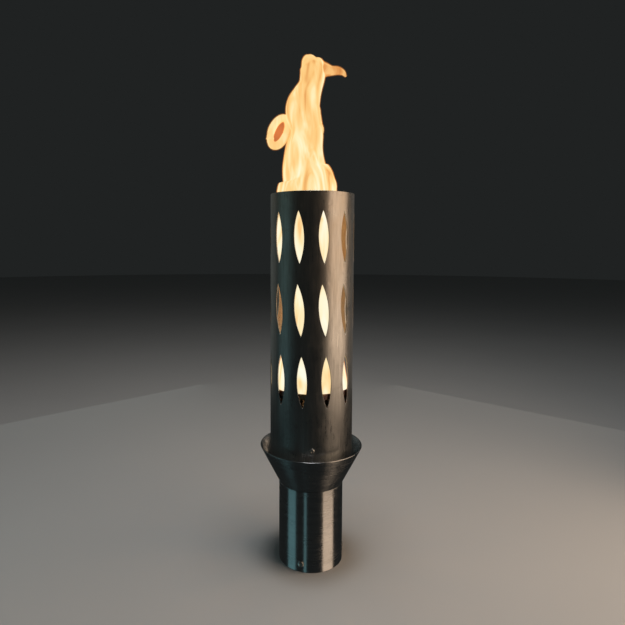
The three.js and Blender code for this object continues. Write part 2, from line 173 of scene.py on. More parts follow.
def revolved(name, section, sides, section_normals=None, sharp=32):
    """A closed piece from section(azimuth), which lists (radius, height) anticlockwise.
    The section closes on itself unless it starts and ends on the axis."""
    points, normals, index, faces = [], [], {}, []
    for column in range(sides):
        azimuth = 360 * column / sides
        for row, (radius, height) in enumerate(section(azimuth)):
            if radius == 0 and column > 0:
                index[row, column] = index[row, 0]
                continue
            index[row, column] = len(points)
            points.append(spot(azimuth, radius, height))
            if section_normals:
                normals.append(spot(azimuth, section_normals[row][0], section_normals[row][1]))
    rows = row + 1
    on_axis = section(0)[0][0] == 0
    for column in range(sides):
        beside = (column + 1) % sides
        for row in range(rows - 1 if on_axis else rows):
            above = (row + 1) % rows
            corners = [index[row, column], index[row, beside], index[above, beside], index[above, column]]
            corners = list(dict.fromkeys(corners))
            if len(corners) > 2:
                faces.append(corners)
    return new_piece(name, points, faces, normals or None, sharp)


def turned(name, corners, sides=WIDE_SIDES):
    """A ring turned from a section with rounded corners."""
    points, normals = filleted(corners)
    return revolved(name, lambda azimuth: points, sides, normals)


def combined(piece, tools, operation):
    """Cuts tools from a piece or adds them to it. Faces that were there before keep their smooth shading."""
    bpy.context.view_layer.update()
    old = piece.data
    tree = BVHTree.FromPolygons([v.co for v in old.vertices], [tuple(p.vertices) for p in old.polygons])
    old_normals = [normal.vector.copy() for normal in old.corner_normals]
    work = bmesh.new()
    for tool in tools:
        tool.data.transform(tool.matrix_world)
        work.from_mesh(tool.data)
        bpy.data.objects.remove(tool)
    both = bpy.data.meshes.new("tools")
    work.to_mesh(both)
    work.free()
    tool = new_object("tools", both)
    change = piece.modifiers.new("change", "BOOLEAN")
    change.operation = operation
    change.solver = "EXACT"
    change.object = tool
    graph = bpy.context.evaluated_depsgraph_get()
    mesh = bpy.data.meshes.new_from_object(piece.evaluated_get(graph))
    piece.modifiers.clear()
    bpy.data.objects.remove(tool)
    mesh.shade_smooth()
    loop_normals = [None] * len(mesh.loops)
    fresh = {}
    for polygon in mesh.polygons:
        found = tree.find_nearest(polygon.center)
        kept = found[3] < 2e-5 and found[1].dot(polygon.normal) > 0.95
        for loop in polygon.loop_indices:
            vertex = mesh.loops[loop].vertex_index
            if not kept:
                fresh.setdefault(vertex, []).append((loop, polygon.normal.copy()))
                continue
            point = mesh.vertices[vertex].co
            face = old.polygons[tree.find_nearest(point.lerp(polygon.center, 0.02))[2]]
            weights = poly_3d_calc([old.vertices[v].co for v in face.vertices], point)
            normal = Vector((0, 0, 0))
            for weight, corner in zip(weights, face.loop_indices):
                normal += weight * old_normals[corner]
            loop_normals[loop] = normal.normalized()
    for around in fresh.values():
        for loop, normal in around:
            alike = [other for _, other in around if other.dot(normal) > 0.6]
            loop_normals[loop] = sum(alike, Vector((0, 0, 0))).normalized()
    mesh.normals_split_custom_set(loop_normals)
    piece.data = mesh
    bpy.data.meshes.remove(old)
    return piece


def peg(radius, bottom, top, sides=24):
    """A round bar along Z, to cut with."""
    ring = [(0, bottom), (radius, bottom), (radius, top), (0, top)]
    return revolved("peg", lambda azimuth: ring, sides)


def outwards(piece, azimuth, radius, height):
    """Turns a piece that points along +Z so that it points outwards, with z = 0 at that radius."""
    place = Matrix.Rotation(math.radians(azimuth), 4, "Z") @ Matrix.Translation((0, -radius, height))
    piece.matrix_world = place @ Matrix.Rotation(math.pi / 2, 4, "X")
    return piece


def side_holes(piece, first, count, radius, height, inner, outer, sides=24):
    """Holes through an upright wall from radius inner to outer, the first at azimuth first."""
    pegs = [outwards(peg(radius, inner - CUT_PAST, outer + CUT_PAST, sides), azimuth, 0, height)
            for azimuth in azimuths(first, count)]
    return combined(piece, pegs, "DIFFERENCE")


def plate_holes(piece, count, radius, circle, bottom, top, sides=24):
    """Holes on a circle through a level plate from height bottom to top."""
    pegs = []
    for azimuth in azimuths(0, count):
        tool = peg(radius, bottom - CUT_PAST, top + CUT_PAST, sides)
        tool.location = spot(azimuth, circle, 0)
        pegs.append(tool)
    return combined(piece, pegs, "DIFFERENCE")


def hexagon(azimuth, flats):
    """How far a hexagon reaches from its centre at an azimuth, with corners at 0, 60, 120 and so on."""
    return flats / 2 / math.cos(math.radians(azimuth % 60 - 30))


def hex_sides(azimuth, flats, low, high):
    """The outside of a hexagon with chamfered corners, from low to high."""
    crown = HEX_CROWN * flats
    corner = hexagon(azimuth, flats)
    drop = (corner - crown) * HEX_CHAMFER
    return [(crown, low), (corner, low + drop), (corner, high - drop), (crown, high)]


def threaded(azimuth, radius, pitch, depth, bottom, top, steps=6):
    """The outside of a screw thread from bottom to top, which runs out over a turn at each end."""
    rows = []
    count = max(2, round((top - bottom) / pitch * steps))
    for row in range(count + 1):
        height = bottom + (top - bottom) * row / count
        phase = (height / pitch - azimuth / 360) % 1
        runout = min(1, (height - bottom) / pitch, (top - height) / pitch)
        rows.append((radius - depth * runout * abs(2 * phase - 1), height))
    return rows


# ---------------------------------------------------------------- finishes
class Finish:
    """A procedural material under construction."""

    def __init__(self, name, metallic):
        self.material = bpy.data.materials.new(name)
        self.material.use_nodes = True
        self.tree = self.material.node_tree
        self.shader = self.tree.nodes["Principled BSDF"]
        self.shader.inputs["Metallic"].default_value = metallic
        self.place = self.node("ShaderNodeTexCoord").outputs["Object"]

    def give(self, socket, value):
        if isinstance(value, bpy.types.NodeSocket):
            self.tree.links.new(value, socket)
        else:
            socket.default_value = value

    def node(self, kind, inputs=(), **settings):
        made = self.tree.nodes.new(kind)
        for name, value in settings.items():
            setattr(made, name, value)
        for name, value in dict(inputs).items():
            self.give(made.inputs[name], value)
        return made

    def noise(self, scale, stretch=(1, 1, 1), detail=4, roughness=0.55, distortion=0.0):
        placed = self.node("ShaderNodeMapping", {"Vector": self.place, "Scale": stretch}).outputs["Vector"]
        inputs = {"Vector": placed, "Scale": scale, "Detail": detail, "Roughness": roughness,
                  "Distortion": distortion}
        return self.node("ShaderNodeTexNoise", inputs).outputs["Fac"]

    def spread(self, value, low, high, start=0.0, end=1.0):
        """Maps low..high smoothly to start..end."""
        inputs = {"Value": value, "From Min": low, "From Max": high, "To Min": start, "To Max": end}
        return self.node("ShaderNodeMapRange", inputs, interpolation_type="SMOOTHSTEP").outputs["Result"]

    def sum(self, *values):
        total = values[0]
        for value in values[1:]:
            total = self.node("ShaderNodeMath", {0: total, 1: value}, operation="ADD").outputs[0]
        return total

    def times(self, first, second):
        return self.node("ShaderNodeMath", {0: first, 1: second}, operation="MULTIPLY").outputs[0]

    def mixed(self, share, first, second):
        inputs = {0: share, 6: first, 7: second}
        return self.node("ShaderNodeMix", inputs, data_type="RGBA").outputs[2]

    def over(self, under, mask, low, high, most, colour):
        """Lays a colour over another, from none where the mask is low to a share of most where it is high."""
        return self.mixed(self.spread(mask, low, high, 0.0, most), under, colour)

    def ramp(self, value, stops):
        """The colours of stops, from (position, colour) in rising order."""
        node = self.node("ShaderNodeValToRGB", {"Fac": value})
        while len(node.color_ramp.elements) < len(stops):
            node.color_ramp.elements.new(1.0)
        for element, (position, colour) in zip(node.color_ramp.elements, stops):
            element.position = position
            element.color = colour
        return node.outputs["Color"]

    def height(self, low, high):
        """0 at one height and 1 at another."""
        parts = self.node("ShaderNodeSeparateXYZ", {"Vector": self.place})
        return self.spread(parts.outputs["Z"], low, high)

    def bump(self, height, distance, strength=1.0):
        inputs = {"Height": height, "Distance": distance, "Strength": strength}
        self.give(self.shader.inputs["Normal"], self.node("ShaderNodeBump", inputs).outputs["Normal"])

    def done(self, colour, roughness):
        self.give(self.shader.inputs["Base Color"], colour)
        self.give(self.shader.inputs["Roughness"], roughness)
        return self.material

    def burns(self, socket, inputs):
        """Makes the material a light source, on its surface or in its volume."""
        self.tree.nodes.remove(self.shader)
        glow = self.node("ShaderNodeEmission", inputs)
        self.give(self.tree.nodes["Material Output"].inputs[socket], glow.outputs["Emission"])
        return self.material


def rgb(red, green, blue):
    return (red, green, blue, 1.0)


def shroud_finish():
    """Satin steel with a fine grain along the tube, finger marks, and a straw tint where it runs hot."""
    make = Finish("satin_steel", 1.0)
    grain = make.noise(900, (1, 1, 0.05), 3, 0.6)
    streak = make.noise(210, (1, 1, 0.035), 3)
    cloud = make.noise(34, (1, 1, 0.6), 5, 0.6, 0.4)
    marks = make.noise(75, (1, 1, 1), 6, 0.7, 1.2)
    heat = make.times(make.height(0.20, 0.46), make.spread(cloud, 0.3, 0.7, 0.35, 1.0))
    steel = make.mixed(make.spread(streak, 0.3, 0.7), rgb(0.40, 0.40, 0.385), rgb(0.50, 0.495, 0.48))
    steel = make.over(steel, grain, 0.35, 0.7, 0.35, rgb(0.24, 0.235, 0.225))
    tinted = make.mixed(make.times(heat, 0.55), steel, rgb(0.50, 0.40, 0.29))
    colour = make.over(tinted, marks, 0.56, 0.74, 0.4, rgb(0.27, 0.25, 0.225))
    roughness = make.sum(make.spread(grain, 0.3, 0.75, 0.27, 0.39), make.spread(marks, 0.5, 0.75, 0.0, 0.10),
                         make.spread(cloud, 0.3, 0.7, -0.03, 0.04))
    make.bump(make.sum(make.times(grain, 0.6), make.times(streak, 0.5), make.times(cloud, 0.8)), 0.00005)
    return make.done(colour, roughness)


def shroud_inside_finish():
    """The inside of the shroud, dulled and browned by the flame, with soot towards the slots."""
    make = Finish("flame_side_steel", 1.0)
    grain = make.noise(420, (1, 1, 0.12), 5, 0.65)
    cloud = make.noise(28, (1, 1, 0.45), 6, 0.65, 0.8)
    soot = make.noise(60, (1, 1, 0.5), 5, 0.7, 1.5)
    warm = make.mixed(make.spread(cloud, 0.3, 0.7), rgb(0.62, 0.42, 0.24), rgb(0.44, 0.27, 0.15))
    warm = make.mixed(make.times(make.height(0.40, 0.20), 0.6), warm, rgb(0.42, 0.37, 0.33))
    colour = make.over(warm, soot, 0.5, 0.8, 0.6, rgb(0.10, 0.075, 0.055))
    roughness = make.sum(make.spread(grain, 0.3, 0.7, 0.42, 0.56), make.spread(soot, 0.5, 0.8, 0.0, 0.2))
    make.bump(make.sum(grain, make.times(soot, 1.5)), 0.0002)
    return make.done(colour, roughness)


def collar_finish():
    """Steel brushed round: the grain runs about the axis, so highlights draw out along it."""
    make = Finish("brushed_steel", 1.0)
    grain = make.noise(60, (1, 1, 26), 2, 0.5)
    band = make.noise(22, (1, 1, 12), 3, 0.6)
    cloud = make.noise(38, (1, 1, 1), 5, 0.6, 0.6)
    nick = make.noise(300, (1, 1, 3.5), 3, 0.5)
    steel = make.mixed(make.spread(grain, 0.3, 0.7), rgb(0.50, 0.51, 0.515), rgb(0.66, 0.665, 0.66))
    steel = make.over(steel, band, 0.35, 0.7, 0.3, rgb(0.40, 0.40, 0.40))
    steel = make.over(steel, nick, 0.62, 0.72, 0.5, rgb(0.30, 0.29, 0.28))
    colour = make.over(steel, cloud, 0.52, 0.75, 0.3, rgb(0.42, 0.40, 0.36))
    roughness = make.sum(make.spread(grain, 0.3, 0.7, 0.16, 0.25), make.spread(cloud, 0.45, 0.75, 0.0, 0.09))
    make.bump(make.sum(grain, make.times(nick, 0.4)), 0.000016)
    make.shader.inputs["Anisotropic"].default_value = 0.7
    make.shader.inputs["Anisotropic Rotation"].default_value = 0.25
    tangent = make.node("ShaderNodeTangent", direction_type="RADIAL", axis="Z").outputs["Tangent"]
    make.give(make.shader.inputs["Tangent"], tangent)
    return make.done(colour, roughness)


def screw_finish():
    """Bright machine screws, dulled a little in patches."""
    make = Finish("screw_steel", 1.0)
    grain = make.noise(2600, (1, 1, 0.3), 4)
    cloud = make.noise(420, (1, 1, 1), 4, 0.6, 0.5)
    steel = make.mixed(make.spread(cloud, 0.35, 0.7), rgb(0.74, 0.74, 0.73), rgb(0.52, 0.51, 0.48))
    colour = make.over(steel, grain, 0.5, 0.75, 0.4, rgb(0.38, 0.37, 0.35))
    roughness = make.sum(make.spread(cloud, 0.3, 0.7, 0.14, 0.26), make.spread(grain, 0.4, 0.7, 0.0, 0.05))
    make.bump(grain, 0.00003)
    return make.done(colour, roughness)


def burner_finish():
    """Burner steel in oxide colours: straw, bronze and a little blue, with pale ash."""
    make = Finish("burner_steel", 1.0)
    grain = make.noise(520, (1, 1, 1), 5, 0.65)
    cloud = make.noise(46, (1, 1, 1), 6, 0.6, 0.9)
    ash = make.noise(150, (1, 1, 1), 6, 0.75, 1.0)
    oxide = make.ramp(cloud, [
        (0.30, rgb(0.44, 0.41, 0.37)), (0.42, rgb(0.50, 0.37, 0.20)), (0.52, rgb(0.38, 0.21, 0.13)),
        (0.60, rgb(0.24, 0.16, 0.17)), (0.68, rgb(0.17, 0.19, 0.25)), (0.80, rgb(0.33, 0.32, 0.31)),
    ])
    oxide = make.over(oxide, grain, 0.4, 0.75, 0.5, rgb(0.15, 0.12, 0.10))
    colour = make.over(oxide, ash, 0.58, 0.78, 0.5, rgb(0.52, 0.48, 0.43))
    roughness = make.sum(make.spread(grain, 0.3, 0.7, 0.38, 0.52), make.spread(ash, 0.55, 0.8, 0.0, 0.25))
    make.bump(make.sum(grain, make.times(ash, 1.6)), 0.00025)
    return make.done(colour, roughness)


def zinc_finish():
    """Zinc plate gone grey, with the pale bloom that it grows."""
    make = Finish("zinc_plate", 1.0)
    grain = make.noise(700, (1, 1, 1), 4)
    bloom = make.noise(110, (1, 1, 1), 6, 0.7, 0.8)
    plate = make.mixed(make.spread(grain, 0.35, 0.7), rgb(0.52, 0.53, 0.55), rgb(0.38, 0.39, 0.41))
    colour = make.over(plate, bloom, 0.52, 0.72, 0.7, rgb(0.62, 0.61, 0.58))
    roughness = make.sum(make.spread(grain, 0.3, 0.7, 0.30, 0.40), make.spread(bloom, 0.5, 0.72, 0.0, 0.28))
    make.bump(make.sum(grain, make.times(bloom, 1.2)), 0.0001)
    return make.done(colour, roughness)


def iron_finish():
    """Black iron pipe: a dark mill skin, cast grain and rust starting in the hollows."""
    make = Finish("black_iron", 0.55)
    cast = make.noise(950, (1, 1, 1), 5, 0.7)
    scale = make.noise(160, (1, 1, 0.5), 5, 0.6, 0.7)
    rust = make.noise(85, (1, 1, 1), 6, 0.75, 1.2)
    skin = make.mixed(make.spread(scale, 0.35, 0.7), rgb(0.055, 0.055, 0.058), rgb(0.12, 0.115, 0.11))
    skin = make.over(skin, cast, 0.5, 0.8, 0.5, rgb(0.20, 0.19, 0.185))
    colour = make.over(skin, rust, 0.58, 0.74, 0.8, rgb(0.23, 0.095, 0.04))
    roughness = make.sum(make.spread(cast, 0.3, 0.7, 0.48, 0.62), make.spread(rust, 0.55, 0.75, 0.0, 0.25))
    make.bump(make.sum(cast, scale), 0.0003)
    return make.done(colour, roughness)


def brass_finish():
    """Machined brass with turning marks and brown tarnish."""
    make = Finish("brass", 1.0)
    turning = make.noise(90, (1, 1, 22), 4, 0.6)
    cloud = make.noise(130, (1, 1, 1), 5, 0.65, 0.8)
    metal = make.mixed(make.spread(turning, 0.3, 0.7), rgb(0.80, 0.57, 0.23), rgb(0.68, 0.46, 0.17))
    colour = make.over(metal, cloud, 0.45, 0.75, 0.75, rgb(0.36, 0.21, 0.085))
    roughness = make.sum(make.spread(turning, 0.3, 0.7, 0.18, 0.28), make.spread(cloud, 0.4, 0.75, 0.0, 0.22))
    make.bump(turning, 0.00006)
    return make.done(colour, roughness)


FINISHES = {
    "shroud_steel": shroud_finish(),
    "collar_steel": collar_finish(),
    "screw_steel": screw_finish(),
    "burner_steel": burner_finish(),
    "zinc_plate": zinc_finish(),
    "pipe_iron": iron_finish(),
    "brass": brass_finish(),
}


def finished(piece, slot, *nodes, body="head", materials=None):
    """Gives a piece the finish that slot names and its body, and hides the CAD nodes that it stands for."""
    piece.data.materials.clear()
    for material in materials or [FINISHES[slot]]:
        piece.data.materials.append(material)
    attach(piece, body)
    if nodes:
        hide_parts(*nodes)
    return piece


# ---------------------------------------------------------------- shroud
def slot_outline():
    """A slot's outline from its lower tip anticlockwise: points across and up, and the way out of it."""
    count = 2 * HALF_CELL + CELL_SIDE
    half = SLOT_WIDTH / 2
    arc = (SLOT_LENGTH ** 2 / 4 + half ** 2) / SLOT_WIDTH
    sweep = math.asin(SLOT_LENGTH / 2 / arc)
    tip_spread = 1.6
    outline = []
    for side in (1, -1):
        for step in range(count):
            angle = side * (2 * step / count - 1) * sweep
            point = Vector((side * (half - arc + arc * math.cos(angle)), arc * math.sin(angle)))
            if step == 0:
                outline.append((point, Vector((0, -side * tip_spread))))
            else:
                outline.append((point, Vector((side * math.cos(angle), math.sin(angle)))))
    return outline


class Shell:
    """The vertices and faces of the shroud, each vertex known by a key."""

    def __init__(self):
        self.points, self.normals, self.faces, self.inside, self.index = [], [], [], [], {}

    def vertex(self, key, azimuth, radius, height, normal):
        """normal is outwards, sideways and up."""
        if key not in self.index:
            self.index[key] = len(self.points)
            self.points.append(spot(azimuth, radius, height))
            turn = Matrix.Rotation(math.radians(azimuth), 3, "Z")
            self.normals.append(turn @ Vector((normal[1], -normal[0], normal[2])))
        return self.index[key]

    def face(self, corners, inside):
        self.faces.append(corners)
        self.inside.append(inside)


def build_shroud():
    outer, bottom, top = reach("shroud")
    inner = outer - SHROUD_WALL
    width = 360 / SLOTS_PER_ROW
    columns = 2 * HALF_CELL
    count = 2 * HALF_CELL + CELL_SIDE
    shell = Shell()
    turns = [turn for turn, _ in SLOT_ROWS]
    centres = [bottom + FIRST_ROW_HEIGHT + ROW_PITCH * row for row in range(len(SLOT_ROWS))]
    levels = [centres[0] - ROW_PITCH / 2] + [centre + ROW_PITCH / 2 for centre in centres]
    level_turns = [turns[0]] + [(a + b) / 2 for a, b in zip(turns, turns[1:])] + [turns[-1]]
    faces_out = (("out", outer, 1), ("in", inner, -1))

    def column_azimuth(turn, column):
        return turn + (column / columns - 0.5) * width

    def level_vertex(side, level, column):
        name, radius, way = side
        key = (name, "level", level, column % (columns * SLOTS_PER_ROW))
        return shell.vertex(key, column_azimuth(level_turns[level], column), radius, levels[level], (way, 0, 0))

    def side_place(row, step):
        """The turn and the height of a step up the side of a cell."""
        share = step / CELL_SIDE
        height = levels[row] + share * ROW_PITCH
        if share < 0.5:
            return level_turns[row] + 2 * share * (turns[row] - level_turns[row]), height
        return turns[row] + (2 * share - 1) * (level_turns[row + 1] - turns[row]), height

    def edge_place(row, cell, step):
        """Where a cell's outline runs: the column and either the level or the step up its side."""
        left = cell * columns
        if step <= HALF_CELL:
            return left + HALF_CELL + step, row, None
        if step < HALF_CELL + CELL_SIDE:
            return left + columns, row, step - HALF_CELL
        if step <= count + HALF_CELL:
            return left + columns - (step - HALF_CELL - CELL_SIDE), row + 1, None
        if step < count + HALF_CELL + CELL_SIDE:
            return left, row, CELL_SIDE - (step - count - HALF_CELL)
        return left + step - (count + HALF_CELL + CELL_SIDE), row, None

    def edge_vertex(side, row, cell, step):
        column, level, rise = edge_place(row, cell, step)
        if rise is None:
            return level_vertex(side, level, column)
        name, radius, way = side
        turn, height = side_place(row, rise)
        key = (name, "side", row, column % (columns * SLOTS_PER_ROW), rise)
        return shell.vertex(key, column_azimuth(turn, column), radius, height, (way, 0, 0))

    def edge_point(row, cell, step):
        column, level, rise = edge_place(row, cell, step)
        if rise is None:
            return column_azimuth(level_turns[level], column), levels[level]
        turn, height = side_place(row, rise)
        return column_azimuth(turn, column), height

    root = math.sqrt(0.5)
    stations = [  # how far out of the slot, how far below the outer face, and the normal's two parts
        (SLOT_EDGE, 0, 1, 0),
        (SLOT_EDGE * (1 - root), SLOT_EDGE * (1 - root), root, root),
        (0, SLOT_EDGE, 0, 1),
        (0, SHROUD_WALL - SLOT_EDGE, 0, 1),
        (SLOT_EDGE * (1 - root), SHROUD_WALL - SLOT_EDGE * (1 - root), -root, root),
        (SLOT_EDGE, SHROUD_WALL, -1, 0),
    ]
    outline = slot_outline()
    for row, (turn, lean) in enumerate(SLOT_ROWS):
        tilt = Matrix.Rotation(math.radians(lean), 2)
        for cell in range(SLOTS_PER_ROW):
            centre = turn + cell * width

            def slot_place(step, out):
                point, way = outline[step]
                across, up = tilt @ (point + out * way)
                return centre + math.degrees(math.asin(across / outer)), centres[row] + up, tilt @ way

            walls = []
            for number, (out, depth, radial, inward) in enumerate(stations):
                line = []
                for step in range(2 * count):
                    azimuth, height, way = slot_place(step, out)
                    way = way.normalized()
                    normal = (radial, -inward * way.x, -inward * way.y)
                    key = ("wall", row, cell, number, step)
                    line.append(shell.vertex(key, azimuth, outer - depth, height, normal))
                walls.append(line)
            for first, second in zip(walls, walls[1:]):
                for step in range(2 * count):
                    after = (step + 1) % (2 * count)
                    shell.face([first[step], first[after], second[after], second[step]], False)
            for side, start in zip(faces_out, (walls[0], walls[-1])):
                name, radius, way = side
                rings = [start]
                for number, share in enumerate(CELL_RINGS[:-1]):
                    ring = []
                    for step in range(2 * count):
                        azimuth, height, _ = slot_place(step, SLOT_EDGE)
                        far_azimuth, far_height = edge_point(row, cell, step)
                        azimuth += share * (far_azimuth - azimuth)
                        height += share * (far_height - height)
                        key = (name, "ring", row, cell, number, step)
                        ring.append(shell.vertex(key, azimuth, radius, height, (way, 0, 0)))
                    rings.append(ring)
                rings.append([edge_vertex(side, row, cell, step) for step in range(2 * count)])
                for near, far in zip(rings, rings[1:]):
                    for step in range(2 * count):
                        after = (step + 1) % (2 * count)
                        corners = [near[step], far[step], far[after], near[after]]
                        shell.face(corners[::way], name == "in")

    def band(level, stations, turn):
        """Closes one end of the tube: the stations run from one face round the rim to the other."""
        total = columns * SLOTS_PER_ROW
        sides = faces_out if level == 0 else faces_out[::-1]
        lines = [[level_vertex(sides[0], level, column) for column in range(total)]]
        for number, (radius, height, radial, up, _) in enumerate(stations):
            lines.append([
                shell.vertex(("band", level, number, column), column_azimuth(turn, column), radius, height,
                             (radial, 0, up))
                for column in range(total)
            ])
        lines.append([level_vertex(sides[1], level, column) for column in range(total)])
        for number, (upper, lower) in enumerate(zip(lines, lines[1:])):
            inside = stations[min(number, len(stations) - 1)][4]
            for column in range(total):
                after = (column + 1) % total
                shell.face([lower[column], lower[after], upper[after], upper[column]], inside)

    def rim(end, way):
        """Stations round an end of the tube at height end, where way is 1 at the top and -1 at the bottom."""
        edge, soft = RIM_EDGE, RIM_EDGE * (1 - root)
        return [
            (outer, end - way * edge, 1, 0, False),
            (outer - soft, end - way * soft, root, way * root, False),
            (outer - edge, end, 0, way, False),
            (inner + edge, end, 0, way, False),
            (inner + soft, end - way * soft, -root, way * root, False),
            (inner, end - way * edge, -1, 0, True),
        ]

    def plain(radius, way, start, end, steps, inside):
        return [(radius, start + (end - start) * step / (steps + 1), way, 0, inside)
                for step in range(1, steps + 1)]

    low = bottom + RIM_EDGE
    high = top - RIM_EDGE
    band_rows = 6
    band(0, plain(outer, 1, levels[0], low, band_rows, False) + rim(bottom, -1)
         + plain(inner, -1, low, levels[0], band_rows, True), level_turns[0])
    band(3, plain(inner, -1, levels[3], high, 1, True) + rim(top, 1)[::-1]
         + plain(outer, 1, high, levels[3], 1, False), level_turns[3])
    piece = new_piece("shroud_shell", shell.points, shell.faces, shell.normals)
    piece.data.polygons.foreach_set("material_index", [int(inside) for inside in shell.inside])
    for material in (FINISHES["shroud_steel"], shroud_inside_finish()):
        piece.data.materials.append(material)
    low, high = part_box("shroud_screw_1")
    side_holes(piece, SCREW_AZIMUTHS["shroud"], 3, SHROUD_HOLE, (low.z + high.z) / 2, inner, outer)
    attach(piece, "head")
    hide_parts("shroud")


# ---------------------------------------------------------------- socket, collar and cup
def build_casing():
    radius, bottom, top = reach("socket_tube")
    bore = radius - SOCKET_WALL
    socket = turned("socket_shell", [
        (bore, bottom, 0.0006), (radius, bottom, 0.0006), (radius, top, 0.00035), (bore, top, 0.00035),
    ])
    low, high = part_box("post_screw_1")
    side_holes(socket, SCREW_AZIMUTHS["post"], 3, POST_HOLE, (low.z + high.z) / 2, bore, radius)
    finished(socket, "collar_steel", "socket_tube")

    ring, low, high = reach("post_stop_ring")
    stop = turned("stop_plate", [
        (STOP_RING_BORE, low, 0.0004), (ring, low, 0.0003), (ring, high, 0.0003), (STOP_RING_BORE, high, 0.0004),
    ])
    finished(stop, "collar_steel", "post_stop_ring")

    rim, low, high = reach("collar_cone")
    foot = radius
    wall = foot - COLLAR_WALL_ACROSS
    slope = (rim - foot) / (high - low)
    collar = turned("collar_shell", [
        (wall, low, 0.00025), (foot, low, 0.00025),
        (rim, high, 0.0005), (rim - COLLAR_WALL_ACROSS, high, 0.0004),
    ])
    finished(collar, "collar_steel", "collar_cone")

    def weld_section(azimuth):
        """A weld bead inside the collar's foot, whose face swells in ripples."""
        swell = WELD_SWELL * abs(math.sin(math.radians(azimuth) * WELD_RIPPLES / 2))
        return [
            (wall - 0.0012, low - 0.0003), (wall - 0.0001, low - 0.0003),
            (wall + slope * 0.0013, low + 0.0013),
            (wall - 0.0001 - 0.5 * swell, low + 0.0009 + 0.8 * swell),
            (wall - 0.0007 - 0.7 * swell, low + 0.0004 + 0.7 * swell),
        ]

    finished(revolved("collar_weld", weld_section, WIDE_SIDES * 2, sharp=60), "collar_steel")

    cup_radius, cup_low, cup_high = reach("inner_cup")
    bore = cup_radius - CUP_WALL
    floor = cup_low + CUP_FLOOR
    cup = turned("cup_shell", [
        (PIPE_HOLE, cup_low, 0.0002), (cup_radius, cup_low, 0.0012), (cup_radius, cup_high, 0.0005),
        (bore, cup_high, 0.0005), (bore, floor, 0.0009), (PIPE_HOLE, floor, 0.0002),
    ])
    plate_holes(cup, VENTS["count"], VENTS["radius"], VENTS["circle"], cup_low, floor, 36)
    low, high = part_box("shroud_screw_1")
    side_holes(cup, SCREW_AZIMUTHS["shroud"], 3, SHROUD_HOLE, (low.z + high.z) / 2, bore, cup_radius)
    finished(cup, "burner_steel", "inner_cup")


# ---------------------------------------------------------------- fasteners
def screw(name, size):
    """A button-head screw along +Z: the head's underside is at z = 0."""
    head, height = size["head"] / 2, size["height"]
    edge = 0.25 * height
    floor = height - size["depth"]
    cone = 0.0004  # depth of the drill point in the socket
    thread, tip = size["thread"] / 2, -size["shank"]
    thread_depth = 0.54 * size["pitch"]

    def section(azimuth):
        rows = [(0, tip), (thread - 0.0004, tip)]
        rows += threaded(azimuth, thread, size["pitch"], thread_depth, tip + 0.0002, -0.0002)
        rows += [(thread, 0), (head - 0.0001, 0), (head, 0.0001)]
        lip = hexagon(azimuth, size["hexagon"])
        for step in range(DOME_STEPS):
            angle = math.acos((lip + 0.0002) / head) * step / (DOME_STEPS - 1)
            rows.append((head * math.cos(angle), edge + (height - edge) * math.sin(angle)))
        top = rows[-1][1]
        return rows + [(lip, top - 0.0002), (lip, floor), (0, floor - cone)]

    return revolved(name, section, SCREW_SIDES, sharp=38)


def nut_section(azimuth):
    """A round rivet nut along +Z, with its outer end at z = 0."""
    rim, bore, end, soft = RIVET_NUT["rim"], RIVET_NUT["bore"], -RIVET_NUT["length"], RIVET_NUT["edge"]
    return [(bore, end + soft), (bore + soft, end), (rim - soft, end), (rim, end + soft),
            (rim, -soft), (rim - soft, 0), (bore + soft, 0), (bore, -soft)]


def build_fasteners():
    for number in (1, 2, 3):
        low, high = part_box(f"shroud_screw_{number}")
        seat = reach("shroud")[0] + GAP
        azimuth = SCREW_AZIMUTHS["shroud"] + 120 * (number - 1)
        height = (low.z + high.z) / 2
        bolt = outwards(screw(f"shroud_bolt_{number}", SHROUD_SCREW), azimuth, seat, height)
        finished(bolt, "screw_steel", f"shroud_screw_{number}")

        seat = reach("inner_cup")[0] - CUP_WALL - GAP
        nut = outwards(revolved(f"rivet_nut_{number}", nut_section, SCREW_SIDES), azimuth, seat, height)
        finished(nut, "zinc_plate", f"shroud_nut_{number}")

        low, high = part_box(f"post_screw_{number}")
        seat = reach("socket_tube")[0] + GAP
        azimuth = SCREW_AZIMUTHS["post"] + 120 * (number - 1)
        bolt = outwards(screw(f"post_bolt_{number}", POST_SCREW), azimuth, seat, (low.z + high.z) / 2)
        finished(bolt, "screw_steel", f"post_screw_{number}", body=f"post_screw_{number}")


# ---------------------------------------------------------------- gas pipework
def locknut(name, node):
    _, low, high = reach(node)

    def section(azimuth):
        return [(PIPE_HOLE, low + PIPE_EDGE), (PIPE_HOLE + PIPE_EDGE, low),
                *hex_sides(azimuth, LOCKNUT_FLATS, low, high),
                (PIPE_HOLE + PIPE_EDGE, high), (PIPE_HOLE, high - PIPE_EDGE)]

    finished(revolved(name, section, PIPE_SIDES, sharp=24), "zinc_plate", node)


def pipe(name, node, threads):
    """A pipe with a thread over each stretch of heights in threads."""
    radius, low, high = reach(node)
    end, lip = radius - 2 * PIPE_EDGE, PIPE_BORE + PIPE_EDGE

    def section(azimuth):
        rows = [(PIPE_BORE, low + PIPE_EDGE), (lip, low), (end, low)]
        for bottom, top in threads:
            rows += threaded(azimuth, radius, PIPE_PITCH, PIPE_THREAD_DEPTH, bottom, top)
        return rows + [(end, high), (lip, high), (PIPE_BORE, high - PIPE_EDGE)]

    finished(revolved(name, section, PIPE_SIDES, sharp=40), "pipe_iron", node)


